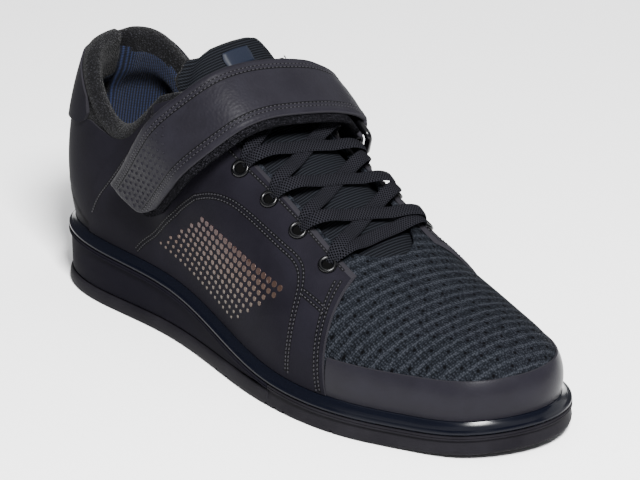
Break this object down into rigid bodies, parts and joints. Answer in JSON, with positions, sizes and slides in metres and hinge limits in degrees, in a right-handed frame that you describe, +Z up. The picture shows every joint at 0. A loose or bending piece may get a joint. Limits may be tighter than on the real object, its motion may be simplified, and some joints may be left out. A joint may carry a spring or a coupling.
{
  "type": "weightlifting shoe",
  "caption": "Right weightlifting shoe with a raised rigid heel, lace-up throat and an instep strap; standing empty on its flat sole.",
  "frame": {"origin": "on the floor under the middle of the sole's bounding box", "axes": "+X from heel to toe, +Y to the medial side (towards the other foot), +Z up"},
  "size_m": [0.3, 0.1105, 0.139],
  "materials": {
    "outsole_rubber": "matte black rubber",
    "heel_block_plastic": "satin black moulded plastic",
    "welt_rubber": "glossy black moulded rubber",
    "footbed_cloth": "black textile over foam",
    "upper_mesh_cloth": "black ribbed mesh",
    "coated_leather": "matte black coated synthetic leather",
    "enamelled_metal": "gloss black enamel",
    "strap_loop_cloth": "fuzzy black loop fabric",
    "lace_polyester": "flat woven black polyester"
  },
  "bodies": {
    "root": {"outsole": "outsole_rubber", "heel_wedge": "heel_block_plastic", "welt": "welt_rubber", "insole": "footbed_cloth", "upper": "upper_mesh_cloth", "tongue": "upper_mesh_cloth", "quarter_lateral": "coated_leather", "quarter_medial": "coated_leather", "toe_cap": "coated_leather", "heel_tab": "coated_leather", "laces": "lace_polyester", "strap_lower": "strap_loop_cloth", "strap_upper": "coated_leather", "strap_ring": "enamelled_metal", "strap_anchor": "coated_leather", "eyelet_lateral_1": "enamelled_metal", "eyelet_lateral_2": "enamelled_metal", "eyelet_lateral_3": "enamelled_metal", "eyelet_lateral_4": "enamelled_metal", "eyelet_lateral_5": "enamelled_metal", "eyelet_medial_1": "enamelled_metal", "eyelet_medial_2": "enamelled_metal", "eyelet_medial_3": "enamelled_metal", "eyelet_medial_4": "enamelled_metal", "eyelet_medial_5": "enamelled_metal"}
  },
  "joints": []
}
